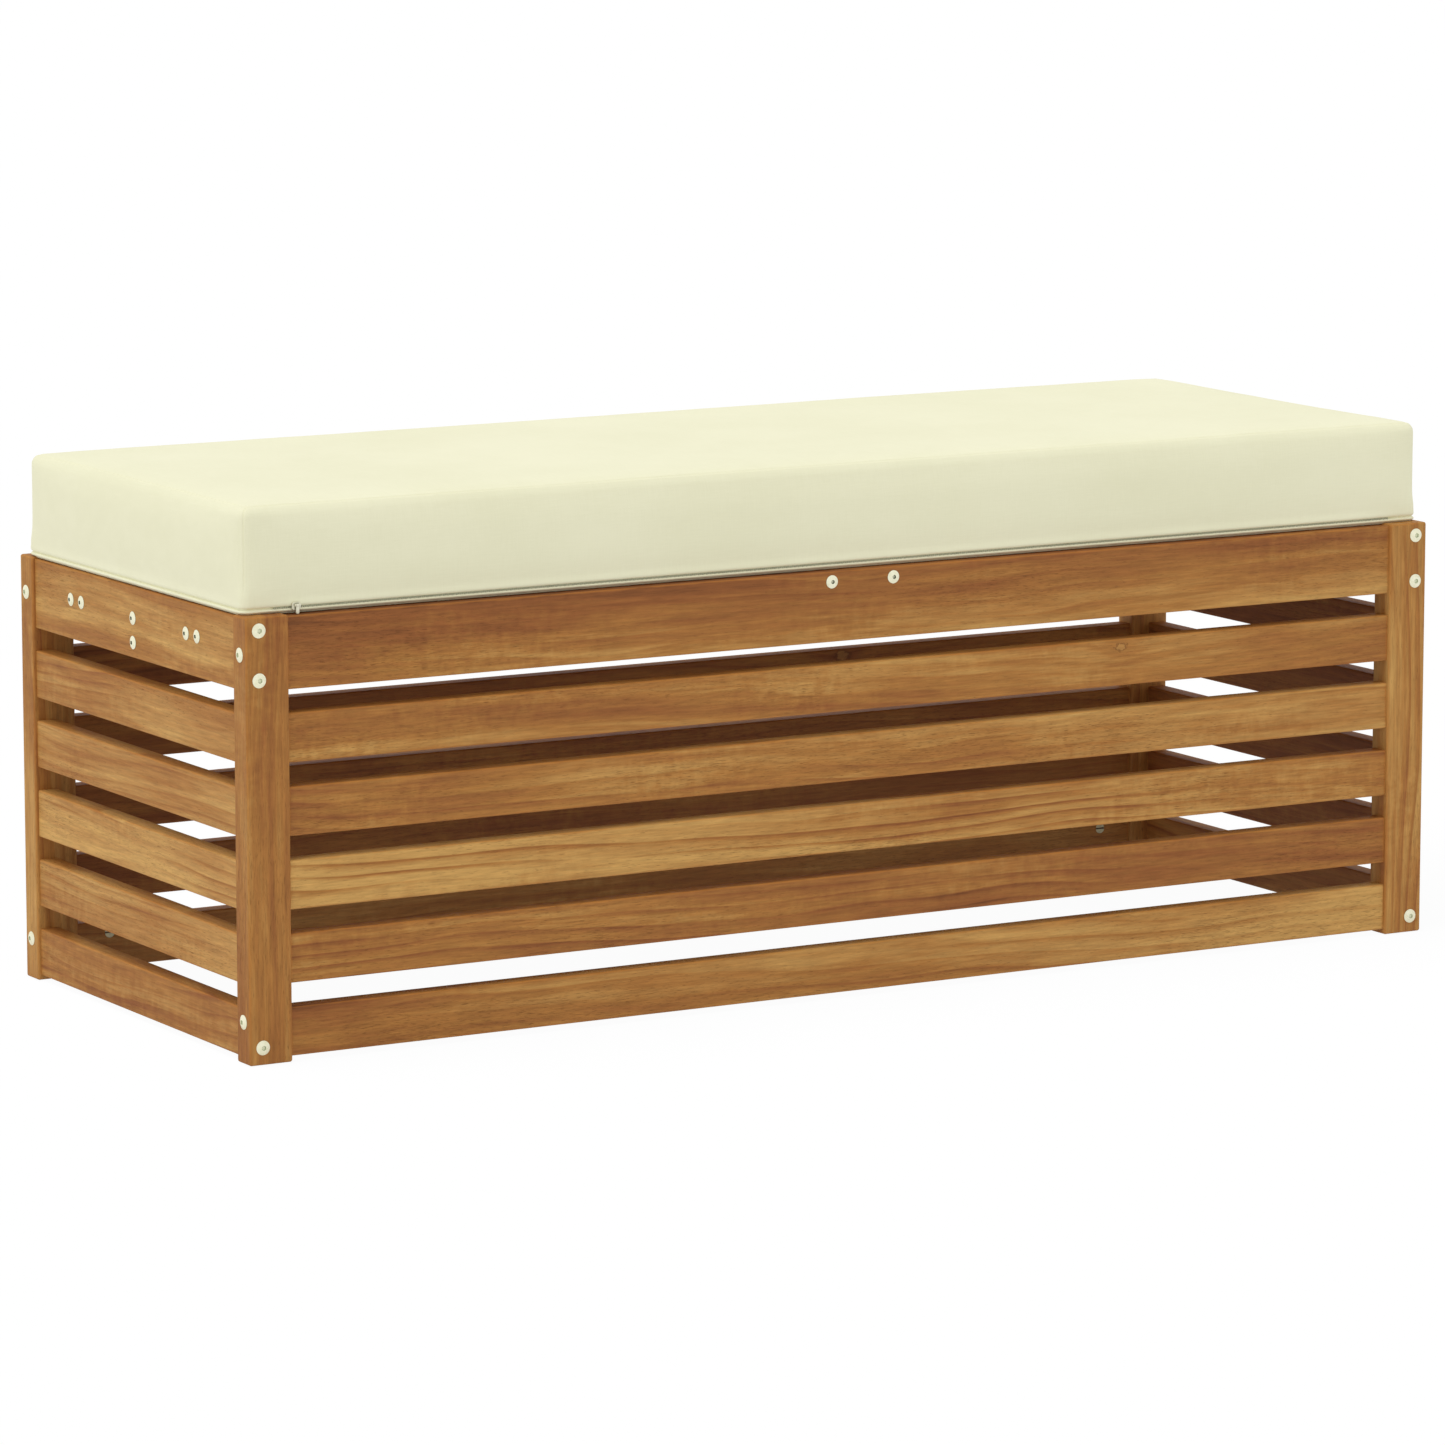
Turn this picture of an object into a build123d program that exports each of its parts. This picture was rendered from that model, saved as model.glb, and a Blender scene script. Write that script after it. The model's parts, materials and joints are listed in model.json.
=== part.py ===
"""Slatted garden bench with a loose box cushion.

A hardwood frame stands on four posts. Each side has a top rail, a bottom rail and four
slats. Under the cushion a fixed deck of cross slats lies on two flat battens and one
centre beam. The inside is open at the bottom. The cushion is a foam block in a fabric
cover that closes with a zip low on its front face.

Millimetres. +X runs along the bench to the right, +Y to the back, +Z up. The origin is
on the floor under the middle of the bench.
"""

import os
from build123d import *

# ---- driving dimensions -------------------------------------------------------------
LENGTH = 1200.0
DEPTH = 450.0
POST_HEIGHT = 380.0
POST_WIDTH = 40.0
POST_DEPTH = 25.0
POST_EDGE_R = 2.2

BOARD_THICKNESS = 18.0
BOARD_INSET = 3.0
BOARD_EDGE_R = 1.6
SLAT_HEIGHT = 42.0
SLAT_PITCH = 62.5
TOP_RAIL_HEIGHT = 62.0
TOP_RAIL_DROP = 1.5
FLOOR_GAP = 4.5
SIDE_SLATS = 4
SEAT_SLATS = 18
BATTEN_WIDTH = 40.0
BATTEN_OFFSET = 115.0

BOLT_LINE = 12.0
BOLT_R = 3.0
NUT_R = 5.0
NUT_LENGTH = 13.0
NUT_REACH = 32.5
NUT_SINK = 0.2
BOLT_PAST_NUT = 9.0
BOLT_HEAD_R = 6.25
BOLT_HEAD_RISE = 2.1
BOLT_SOCKET_R = 2.3
BOLT_SOCKET_DEPTH = 1.4
HEAD_RIM = 0.3
NUT_SLOT_WIDTH = 1.4
NUT_SLOT_DEPTH = 1.5
END_TOP_BOLT_SPREAD = 21.0

DECK_SCREW_R = 2.5
DECK_SCREW_LENGTH = 50.0
DECK_SCREW_HEAD_R = 5.8
DECK_SCREW_HEAD_RISE = 1.9
DECK_SCREW_SOCKET_R = 1.9
DECK_SCREW_SOCKET_DEPTH = 1.2
DECK_SCREW_SPREAD = 10.6

SLAT_SCREW_R = 2.0
SLAT_SCREW_LENGTH = 30.0
SLAT_SCREW_HEAD_R = 4.0
SLAT_SCREW_SOCKET_R = 1.4
SLAT_SCREW_SOCKET_DEPTH = 1.2

DOWEL_R = 4.0
DOWEL_IN_BOARD = 20.0
DOWEL_IN_LONG_POST = 18.0
DOWEL_IN_END_POST = 14.0
RAIL_DOWEL_OFFSET = 20.0

CUSHION_LENGTH = 1196.0
CUSHION_DEPTH = 428.0
CUSHION_THICKNESS = 90.0
CUSHION_GAP = 0.3
CUSHION_EDGE_R = 8.0
CUSHION_BOTTOM_R = 2.5
COVER_THICKNESS = 2.0

ZIP_LEFT = -568.0
ZIP_RIGHT = 566.0
ZIP_HEIGHT = 4.0
ZIP_RISE = 3.2
TAPE_SINK = 0.6
CHAIN_R = 0.6
SLIDER_X = -548.0
SLIDER_WIDTH = 8.0
SLIDER_HEIGHT = 6.0
SLIDER_THICKNESS = 1.8
SLIDER_CLEARANCE = 0.3
LUG_THICKNESS = 0.8
LUG_R = 1.1
BAR_R = 0.5
BAR_STANDOFF = 1.5
PULL_WIDTH = 2.8
PULL_THICKNESS = 0.9
PULL_LENGTH = 7.2
PULL_EYE_R = 1.2
PULL_CLEARANCE = 0.08
PULL_SIDE_GAP = 0.15

# ---- places worked out from the driving dimensions ----------------------------------
HALF_LENGTH = LENGTH / 2
HALF_DEPTH = DEPTH / 2
BOARD_CENTRE = BOARD_INSET + BOARD_THICKNESS / 2
BOARD_BACK = BOARD_INSET + BOARD_THICKNESS
LONG_BOARD_LENGTH = LENGTH - 2 * POST_WIDTH
END_BOARD_LENGTH = DEPTH - 2 * POST_DEPTH

TOP_RAIL_Z = POST_HEIGHT - TOP_RAIL_DROP - TOP_RAIL_HEIGHT / 2
BOTTOM_RAIL_Z = FLOOR_GAP + SLAT_HEIGHT / 2
SLAT_HEIGHTS = [BOTTOM_RAIL_Z + SLAT_PITCH * (SIDE_SLATS - index) for index in range(SIDE_SLATS)]

DECK_TOP = POST_HEIGHT - TOP_RAIL_DROP
SEAT_SLAT_Z = DECK_TOP - BOARD_THICKNESS / 2
BATTEN_TOP = DECK_TOP - BOARD_THICKNESS
BATTEN_Z = BATTEN_TOP - BOARD_THICKNESS / 2
BEAM_Z = BATTEN_TOP - BATTEN_WIDTH / 2
SEAT_SLAT_X = [SLAT_PITCH * (index - (SEAT_SLATS - 1) / 2) for index in range(SEAT_SLATS)]

CUSHION_BOTTOM = POST_HEIGHT + CUSHION_GAP
CUSHION_MIDDLE = CUSHION_BOTTOM + CUSHION_THICKNESS / 2
CUSHION_FRONT = -CUSHION_DEPTH / 2
ZIP_Z = CUSHION_BOTTOM + ZIP_RISE + ZIP_HEIGHT / 2
ZIP_X = (ZIP_LEFT + ZIP_RIGHT) / 2
ZIP_LENGTH = ZIP_RIGHT - ZIP_LEFT

# Bolt heights at each corner. The two directions pass each other without meeting.
END_BOLT_Z = [
    TOP_RAIL_Z + END_TOP_BOLT_SPREAD,
    TOP_RAIL_Z - END_TOP_BOLT_SPREAD,
    BOTTOM_RAIL_Z - SLAT_HEIGHT / 4,
]
LONG_BOLT_Z = [TOP_RAIL_Z, BOTTOM_RAIL_Z + SLAT_HEIGHT / 4]
LONG_RAIL_DOWEL_Z = [TOP_RAIL_Z + RAIL_DOWEL_OFFSET, BOTTOM_RAIL_Z - SLAT_HEIGHT / 4]
END_RAIL_DOWEL_Z = [BOTTOM_RAIL_Z]

SIDES = {"front": -1, "rear": 1}
ENDS = {"left": -1, "right": 1}

os.makedirs("parts", exist_ok=True)


def save(piece, name):
    """Label a finished piece and write its STEP file."""
    piece.part.label = name
    export_step(piece.part, f"parts/{name}.step")


def drill(mouths, outward, radius, depth):
    """Cut blind holes whose mouths face outward, in the part that is being built."""
    with Locations(*[Plane(origin=mouth, z_dir=outward) for mouth in mouths]):
        Hole(radius, depth)


def within(heights, centre, height):
    """Keep the heights that fall inside a board of the given height."""
    return [z for z in heights if abs(z - centre) < height / 2]


# ---- fastener places -----------------------------------------------------------------
def end_bolt_mouths(side, end, heights):
    """Points on a post's front or rear face, over the end rails."""
    return [(end * (HALF_LENGTH - BOLT_LINE), side * HALF_DEPTH, z) for z in heights]


def long_bolt_mouths(side, end, heights):
    """Points on a post's end face, over the front or rear rails."""
    return [(end * HALF_LENGTH, side * (HALF_DEPTH - BOLT_LINE), z) for z in heights]


def long_dowel_points(side, end, heights):
    """Points on the joint face between a post and the long boards."""
    return [(end * (HALF_LENGTH - POST_WIDTH), side * (HALF_DEPTH - BOARD_CENTRE), z) for z in heights]


def end_dowel_points(side, end, heights):
    """Points on the joint face between a post and the end boards."""
    return [(end * (HALF_LENGTH - BOARD_CENTRE), side * (HALF_DEPTH - POST_DEPTH), z) for z in heights]


def end_nut_points(side, end, heights):
    """Barrel nut mouths on the inner face of an end rail."""
    return [
        (end * (HALF_LENGTH - BOARD_BACK), side * (HALF_DEPTH - POST_DEPTH - NUT_REACH), z)
        for z in heights
    ]


def long_nut_points(side, end, heights):
    """Barrel nut mouths on the inner face of a front or rear rail."""
    return [
        (end * (HALF_LENGTH - POST_WIDTH - NUT_REACH), side * (HALF_DEPTH - BOARD_BACK), z)
        for z in heights
    ]


def end_deck_screw_points(end):
    """Screw places on an end rail's outer face: a pair for each batten and for the beam."""
    x = end * (HALF_LENGTH - BOARD_INSET)
    points = []
    for step in (-DECK_SCREW_SPREAD, DECK_SCREW_SPREAD):
        points.append((x, -BATTEN_OFFSET + step, BATTEN_Z))
        points.append((x, BATTEN_OFFSET + step, BATTEN_Z))
        points.append((x, 0, BEAM_Z + step))
    return points


def side_deck_screw_points(side):
    """Screw places on a front or rear rail's outer face, into the two middle seat slats."""
    y = side * (HALF_DEPTH - BOARD_INSET)
    return [(x, y, SEAT_SLAT_Z) for x in (-SLAT_PITCH / 2, SLAT_PITCH / 2)]


def slat_screw_points(x):
    """Countersunk screw places on top of one seat slat."""
    return [(x, y, DECK_TOP) for y in (-BATTEN_OFFSET, 0, BATTEN_OFFSET)]


# ---- posts ---------------------------------------------------------------------------
def make_post(side, end):
    """A square-cut post with its bolt holes and dowel holes."""
    centre_x = end * (HALF_LENGTH - POST_WIDTH / 2)
    centre_y = side * (HALF_DEPTH - POST_DEPTH / 2)
    with BuildPart() as post:
        with BuildSketch(Plane.XY):
            with Locations((centre_x, centre_y)):
                Rectangle(POST_WIDTH, POST_DEPTH)
        extrude(amount=POST_HEIGHT)
        fillet(post.edges(), POST_EDGE_R)
        drill(end_bolt_mouths(side, end, END_BOLT_Z), (0, side, 0), BOLT_R, POST_DEPTH)
        drill(long_bolt_mouths(side, end, LONG_BOLT_Z), (end, 0, 0), BOLT_R, POST_WIDTH)
        long_dowels = long_dowel_points(side, end, SLAT_HEIGHTS + LONG_RAIL_DOWEL_Z)
        drill(long_dowels, (-end, 0, 0), DOWEL_R, DOWEL_IN_LONG_POST)
        end_dowels = end_dowel_points(side, end, SLAT_HEIGHTS + END_RAIL_DOWEL_Z)
        drill(end_dowels, (0, -side, 0), DOWEL_R, DOWEL_IN_END_POST)
    return post


for side_name, side in SIDES.items():
    for end_name, end in ENDS.items():
        save(make_post(side, end), f"{side_name}_{end_name}_post")


# ---- side rails and slats ------------------------------------------------------------
def make_long_board(side, centre_z, height):
    """A front or rear board: rounded along its length, drilled for whatever meets it."""
    profile = Plane(
        origin=(-LONG_BOARD_LENGTH / 2, side * (HALF_DEPTH - BOARD_CENTRE), centre_z),
        x_dir=(0, 1, 0),
        z_dir=(1, 0, 0),
    )
    bolts = within(LONG_BOLT_Z, centre_z, height)
    dowels = within(SLAT_HEIGHTS + LONG_RAIL_DOWEL_Z, centre_z, height)
    with BuildPart() as board:
        with BuildSketch(profile):
            RectangleRounded(BOARD_THICKNESS, height, BOARD_EDGE_R)
        extrude(amount=LONG_BOARD_LENGTH)
        for end in ENDS.values():
            drill(long_dowel_points(side, end, dowels), (end, 0, 0), DOWEL_R, DOWEL_IN_BOARD)
            if bolts:
                drill(long_dowel_points(side, end, bolts), (end, 0, 0), BOLT_R, NUT_REACH + BOLT_PAST_NUT)
                drill(long_nut_points(side, end, bolts), (0, -side, 0), NUT_R, NUT_LENGTH + NUT_SINK)
        if height == TOP_RAIL_HEIGHT:
            drill(side_deck_screw_points(side), (0, side, 0), DECK_SCREW_R, BOARD_THICKNESS)
    return board


def make_end_board(end, centre_z, height):
    """A left or right board, made the same way between the front and rear posts."""
    profile = Plane(
        origin=(end * (HALF_LENGTH - BOARD_CENTRE), -END_BOARD_LENGTH / 2, centre_z),
        x_dir=(1, 0, 0),
        z_dir=(0, 1, 0),
    )
    bolts = within(END_BOLT_Z, centre_z, height)
    dowels = within(SLAT_HEIGHTS + END_RAIL_DOWEL_Z, centre_z, height)
    with BuildPart() as board:
        with BuildSketch(profile):
            RectangleRounded(BOARD_THICKNESS, height, BOARD_EDGE_R)
        extrude(amount=END_BOARD_LENGTH)
        for side in SIDES.values():
            if dowels:
                drill(end_dowel_points(side, end, dowels), (0, side, 0), DOWEL_R, DOWEL_IN_BOARD)
            if bolts:
                drill(end_dowel_points(side, end, bolts), (0, side, 0), BOLT_R, NUT_REACH + BOLT_PAST_NUT)
                drill(end_nut_points(side, end, bolts), (-end, 0, 0), NUT_R, NUT_LENGTH + NUT_SINK)
        if height == TOP_RAIL_HEIGHT:
            drill(end_deck_screw_points(end), (end, 0, 0), DECK_SCREW_R, BOARD_THICKNESS)
    return board


BOARDS = {"top_rail": (TOP_RAIL_Z, TOP_RAIL_HEIGHT), "bottom_rail": (BOTTOM_RAIL_Z, SLAT_HEIGHT)}
for number, slat_z in enumerate(SLAT_HEIGHTS, start=1):
    BOARDS[f"slat_{number}"] = (slat_z, SLAT_HEIGHT)

for board_name, (board_z, board_height) in BOARDS.items():
    for side_name, side in SIDES.items():
        save(make_long_board(side, board_z, board_height), f"{side_name}_{board_name}")
    for end_name, end in ENDS.items():
        save(make_end_board(end, board_z, board_height), f"{end_name}_{board_name}")


# ---- seat deck -----------------------------------------------------------------------
def make_deck_support(centre_y, centre_z, width, height):
    """A batten or the beam: runs between the end rails, under the seat slats."""
    run = LENGTH - 2 * BOARD_BACK
    screw_depth = DECK_SCREW_LENGTH - BOARD_THICKNESS
    profile = Plane(origin=(-run / 2, centre_y, centre_z), x_dir=(0, 1, 0), z_dir=(1, 0, 0))
    with BuildPart() as support:
        with BuildSketch(profile):
            RectangleRounded(width, height, BOARD_EDGE_R)
        extrude(amount=run)
        for end in ENDS.values():
            ends = [
                (end * run / 2, y, z)
                for _, y, z in end_deck_screw_points(end)
                if abs(y - centre_y) < width / 2
            ]
            drill(ends, (end, 0, 0), DECK_SCREW_R, screw_depth)
        tops = [(x, centre_y, BATTEN_TOP) for x in SEAT_SLAT_X]
        drill(tops, (0, 0, 1), SLAT_SCREW_R, SLAT_SCREW_LENGTH - BOARD_THICKNESS)
    return support


save(make_deck_support(-BATTEN_OFFSET, BATTEN_Z, BATTEN_WIDTH, BOARD_THICKNESS), "front_batten")
save(make_deck_support(BATTEN_OFFSET, BATTEN_Z, BATTEN_WIDTH, BOARD_THICKNESS), "rear_batten")
save(make_deck_support(0, BEAM_Z, BOARD_THICKNESS, BATTEN_WIDTH), "centre_beam")


def make_seat_slat(x):
    """A cross slat of the seat, countersunk over both battens and the beam."""
    run = DEPTH - 2 * BOARD_BACK
    profile = Plane(origin=(x, -run / 2, SEAT_SLAT_Z), x_dir=(1, 0, 0), z_dir=(0, 1, 0))
    with BuildPart() as slat:
        with BuildSketch(profile):
            RectangleRounded(SLAT_HEIGHT, BOARD_THICKNESS, BOARD_EDGE_R)
        extrude(amount=run)
        with Locations(*[Plane(origin=point, z_dir=(0, 0, 1)) for point in slat_screw_points(x)]):
            CounterSinkHole(SLAT_SCREW_R, SLAT_SCREW_HEAD_R, BOARD_THICKNESS, 90)
        if abs(x) < SLAT_PITCH:
            for side in SIDES.values():
                mouth = [(x, side * run / 2, SEAT_SLAT_Z)]
                drill(mouth, (0, side, 0), DECK_SCREW_R, DECK_SCREW_LENGTH - BOARD_THICKNESS)
    return slat


for number, slat_x in enumerate(SEAT_SLAT_X, start=1):
    save(make_seat_slat(slat_x), f"seat_slat_{number:02d}")


# ---- fasteners -----------------------------------------------------------------------
def domed_fastener(head_r, head_rise, socket_r, socket_depth, shank_r, shank_length):
    """A domed head over the XY plane with a hex socket, and a round shank below it."""
    with BuildPart() as fastener:
        with BuildSketch(Plane.XZ):
            with BuildLine():
                Line((0, -shank_length), (shank_r, -shank_length))
                Line((shank_r, -shank_length), (shank_r, 0))
                Line((shank_r, 0), (head_r, 0))
                Line((head_r, 0), (head_r, HEAD_RIM))
                TangentArc((0, head_rise), (head_r, HEAD_RIM), tangent=(1, 0))
                Line((0, head_rise), (0, -shank_length))
            make_face()
        revolve(axis=Axis.Z)
        with BuildSketch(Plane.XY.offset(head_rise)):
            RegularPolygon(socket_r, 6)
        extrude(amount=-socket_depth, mode=Mode.SUBTRACT)
    return fastener.part


def place(shape, points, outward):
    """Copies of a shape made at the origin, set on the points with its +Z along outward."""
    return [Plane(origin=point, z_dir=outward).location * shape for point in points]


def save_group(copies, name):
    """Join loose copies into one group of separate solids and write it."""
    with BuildPart() as group:
        add(copies)
    save(group, name)


def make_corner_bolt(grip):
    """A connector bolt that reaches through a post and its barrel nut."""
    return domed_fastener(
        BOLT_HEAD_R,
        BOLT_HEAD_RISE,
        BOLT_SOCKET_R,
        BOLT_SOCKET_DEPTH,
        BOLT_R,
        grip + NUT_REACH + BOLT_PAST_NUT,
    )


end_bolt = make_corner_bolt(POST_DEPTH)
long_bolt = make_corner_bolt(POST_WIDTH)
end_bolts = []
long_bolts = []
for side in SIDES.values():
    for end in ENDS.values():
        end_bolts += place(end_bolt, end_bolt_mouths(side, end, END_BOLT_Z), (0, side, 0))
        long_bolts += place(long_bolt, long_bolt_mouths(side, end, LONG_BOLT_Z), (end, 0, 0))
save_group(end_bolts, "end_rail_bolts")
save_group(long_bolts, "long_rail_bolts")


def make_barrel_nut():
    """A round nut lying below the XY plane, slotted on top, with its thread across it."""
    thread_depth = BOARD_THICKNESS / 2
    with BuildPart() as nut:
        with BuildSketch(Plane.XY.offset(-NUT_SINK)):
            Circle(NUT_R)
        extrude(amount=-NUT_LENGTH)
        with BuildSketch(Plane.YZ.offset(-NUT_R)):
            with Locations((0, -thread_depth)):
                Circle(BOLT_R)
        extrude(amount=2 * NUT_R, mode=Mode.SUBTRACT)
        with BuildSketch(Plane.XY.offset(-NUT_SINK)):
            Rectangle(2 * NUT_R, NUT_SLOT_WIDTH)
        extrude(amount=-NUT_SLOT_DEPTH, mode=Mode.SUBTRACT)
    return nut.part


barrel_nut = make_barrel_nut()
nuts = []
for side in SIDES.values():
    for end in ENDS.values():
        for point in end_nut_points(side, end, END_BOLT_Z):
            seat = Plane(origin=point, x_dir=(0, 1, 0), z_dir=(-end, 0, 0))
            nuts.append(seat.location * barrel_nut)
        for point in long_nut_points(side, end, LONG_BOLT_Z):
            seat = Plane(origin=point, x_dir=(1, 0, 0), z_dir=(0, -side, 0))
            nuts.append(seat.location * barrel_nut)
save_group(nuts, "barrel_nuts")

deck_screw = domed_fastener(
    DECK_SCREW_HEAD_R,
    DECK_SCREW_HEAD_RISE,
    DECK_SCREW_SOCKET_R,
    DECK_SCREW_SOCKET_DEPTH,
    DECK_SCREW_R,
    DECK_SCREW_LENGTH,
)
deck_screws = []
for end in ENDS.values():
    deck_screws += place(deck_screw, end_deck_screw_points(end), (end, 0, 0))
for side in SIDES.values():
    deck_screws += place(deck_screw, side_deck_screw_points(side), (0, side, 0))
save_group(deck_screws, "deck_screws")


def make_countersunk_screw():
    """A flat-headed screw whose head is level with the XY plane."""
    head_depth = SLAT_SCREW_HEAD_R - SLAT_SCREW_R
    with BuildPart() as screw:
        with BuildSketch(Plane.XZ):
            with BuildLine():
                Polyline(
                    (0, 0),
                    (SLAT_SCREW_HEAD_R, 0),
                    (SLAT_SCREW_R, -head_depth),
                    (SLAT_SCREW_R, -SLAT_SCREW_LENGTH),
                    (0, -SLAT_SCREW_LENGTH),
                    close=True,
                )
            make_face()
        revolve(axis=Axis.Z)
        with BuildSketch(Plane.XY):
            RegularPolygon(SLAT_SCREW_SOCKET_R, 6)
        extrude(amount=-SLAT_SCREW_SOCKET_DEPTH, mode=Mode.SUBTRACT)
    return screw.part


slat_screw = make_countersunk_screw()
slat_screws = []
for slat_x in SEAT_SLAT_X:
    slat_screws += place(slat_screw, slat_screw_points(slat_x), (0, 0, 1))
save_group(slat_screws, "seat_slat_screws")


def make_dowel(in_post):
    """A beech dowel across the XY plane: in_post above it and the rest in the board below."""
    with BuildPart() as dowel:
        with BuildSketch(Plane.XY.offset(-DOWEL_IN_BOARD)):
            Circle(DOWEL_R)
        extrude(amount=DOWEL_IN_BOARD + in_post)
    return dowel.part


long_dowel = make_dowel(DOWEL_IN_LONG_POST)
end_dowel = make_dowel(DOWEL_IN_END_POST)
dowels = []
for side in SIDES.values():
    for end in ENDS.values():
        long_points = long_dowel_points(side, end, SLAT_HEIGHTS + LONG_RAIL_DOWEL_Z)
        dowels += place(long_dowel, long_points, (end, 0, 0))
        end_points = end_dowel_points(side, end, SLAT_HEIGHTS + END_RAIL_DOWEL_Z)
        dowels += place(end_dowel, end_points, (0, side, 0))
save_group(dowels, "wood_dowels")


# ---- cushion -------------------------------------------------------------------------
def cushion_block(margin):
    """The cushion's outer form, drawn in by a margin on every face."""
    middle = Plane.XY.offset(CUSHION_BOTTOM + margin)
    with BuildPart() as block:
        with BuildSketch(middle):
            RectangleRounded(CUSHION_LENGTH - 2 * margin, CUSHION_DEPTH - 2 * margin, CUSHION_EDGE_R - margin)
        extrude(amount=CUSHION_THICKNESS - 2 * margin)
        fillet(block.faces().sort_by(Axis.Z)[-1].edges(), CUSHION_EDGE_R - margin)
        fillet(block.faces().sort_by(Axis.Z)[0].edges(), max(CUSHION_BOTTOM_R - margin, 0.5))
    return block


foam = cushion_block(COVER_THICKNESS)
save(foam, "cushion_foam")

with BuildPart() as cover:
    add(cushion_block(0).part)
    add(foam.part, mode=Mode.SUBTRACT)
    with BuildSketch(Plane.XZ.offset(-CUSHION_FRONT)):
        with Locations((ZIP_X, ZIP_Z)):
            Rectangle(ZIP_LENGTH, ZIP_HEIGHT)
    extrude(amount=-COVER_THICKNESS, mode=Mode.SUBTRACT)
save(cover, "cushion_cover")

with BuildPart() as zip_tape:
    with BuildSketch(Plane.XZ.offset(-CUSHION_FRONT - TAPE_SINK)):
        with Locations((ZIP_X, ZIP_Z)):
            Rectangle(ZIP_LENGTH, ZIP_HEIGHT)
    extrude(amount=-(COVER_THICKNESS - TAPE_SINK))
    with BuildSketch(Plane(origin=(ZIP_LEFT, CUSHION_FRONT + TAPE_SINK, ZIP_Z), z_dir=(1, 0, 0))):
        Circle(CHAIN_R)
    extrude(amount=ZIP_LENGTH)
save(zip_tape, "zip_tape")

# The slider stands just off the zip. Its pull hangs from a bar between two lugs.
PLATE_BACK = CUSHION_FRONT - SLIDER_CLEARANCE
PLATE_FRONT = PLATE_BACK - SLIDER_THICKNESS
BAR_Y = PLATE_FRONT - BAR_STANDOFF
BAR_Z = ZIP_Z + 0.8
LUG_X = PULL_WIDTH / 2 + PULL_SIDE_GAP

with BuildPart() as slider:
    with BuildSketch(Plane.XZ.offset(-PLATE_BACK)):
        with Locations((SLIDER_X, ZIP_Z)):
            RectangleRounded(SLIDER_WIDTH, SLIDER_HEIGHT, 1.5)
    extrude(amount=SLIDER_THICKNESS)
    for lug_start in (SLIDER_X - LUG_X - LUG_THICKNESS, SLIDER_X + LUG_X):
        lug_plane = Plane(origin=(lug_start, BAR_Y, BAR_Z), x_dir=(0, 1, 0), z_dir=(1, 0, 0))
        with BuildSketch(lug_plane):
            Circle(LUG_R)
            with Locations((BAR_STANDOFF / 2, 0)):
                Rectangle(BAR_STANDOFF, 2 * LUG_R)
        extrude(amount=LUG_THICKNESS)
    with BuildSketch(Plane(origin=(SLIDER_X - LUG_X, BAR_Y, BAR_Z), z_dir=(1, 0, 0))):
        Circle(BAR_R)
    extrude(amount=2 * LUG_X)
save(slider, "zip_slider")

pull_plane = Plane(origin=(SLIDER_X - PULL_WIDTH / 2, BAR_Y, BAR_Z), x_dir=(0, 1, 0), z_dir=(1, 0, 0))
with BuildPart() as pull:
    with BuildSketch(pull_plane):
        Circle(PULL_EYE_R)
        with Locations((0, -PULL_LENGTH / 2)):
            Rectangle(PULL_THICKNESS, PULL_LENGTH)
        Circle(BAR_R + PULL_CLEARANCE, mode=Mode.SUBTRACT)
    extrude(amount=PULL_WIDTH)
    fillet(pull.edges().filter_by(Axis.Y).group_by(Axis.Z)[0], PULL_WIDTH / 3)
save(pull, "zip_pull")
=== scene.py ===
"""Visual model of the slatted garden bench with its loose box cushion.

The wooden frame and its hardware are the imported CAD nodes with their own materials. The
cushion, its foam and its zip are modelled here, around the CAD solids they stand for.
"""

import json
import math
import random

import bmesh
import bpy
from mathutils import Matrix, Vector, noise


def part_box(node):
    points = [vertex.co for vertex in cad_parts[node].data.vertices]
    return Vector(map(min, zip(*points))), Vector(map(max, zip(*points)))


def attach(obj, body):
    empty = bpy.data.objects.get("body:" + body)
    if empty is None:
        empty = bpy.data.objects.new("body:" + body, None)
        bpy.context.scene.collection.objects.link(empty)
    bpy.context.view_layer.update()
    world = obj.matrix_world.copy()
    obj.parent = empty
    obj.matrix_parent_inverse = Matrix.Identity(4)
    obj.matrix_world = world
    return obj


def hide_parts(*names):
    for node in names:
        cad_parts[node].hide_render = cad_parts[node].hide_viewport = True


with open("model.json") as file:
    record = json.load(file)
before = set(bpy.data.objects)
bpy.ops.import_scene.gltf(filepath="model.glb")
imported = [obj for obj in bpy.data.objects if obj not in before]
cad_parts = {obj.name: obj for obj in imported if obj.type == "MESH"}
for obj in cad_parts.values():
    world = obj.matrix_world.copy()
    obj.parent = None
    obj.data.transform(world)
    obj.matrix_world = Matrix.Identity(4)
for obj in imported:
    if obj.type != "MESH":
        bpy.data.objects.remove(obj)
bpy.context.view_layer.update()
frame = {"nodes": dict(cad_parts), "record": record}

MM = 0.001

# ---- camera, lights and floor --------------------------------------------------------
CAMERA_PLACE = Vector((-3.1572, -5.4344, 1.2369))
CAMERA_HEADING = math.radians(30.054)
CAMERA_PITCH = math.radians(9.265)
CAMERA_LENS = 175.82

SKY_STRENGTH = 0.78
SUN_STRENGTH = 0.92
SUN_SOFTNESS = math.radians(50)
SUN_FROM = Vector((-0.37, -0.02, 0.93))
FLOOR_SIZE = 60.0
FLOOR_GLOW = 0.86
FLOOR_BOUNCE = 0.60
FLOOR_LIFT = 0.22
FLOOR_DEPTH = 0.8 * MM
BOUNCE_DEPTH = 0.4 * MM
WHITE = (1.0, 1.0, 1.0, 1.0)


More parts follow.
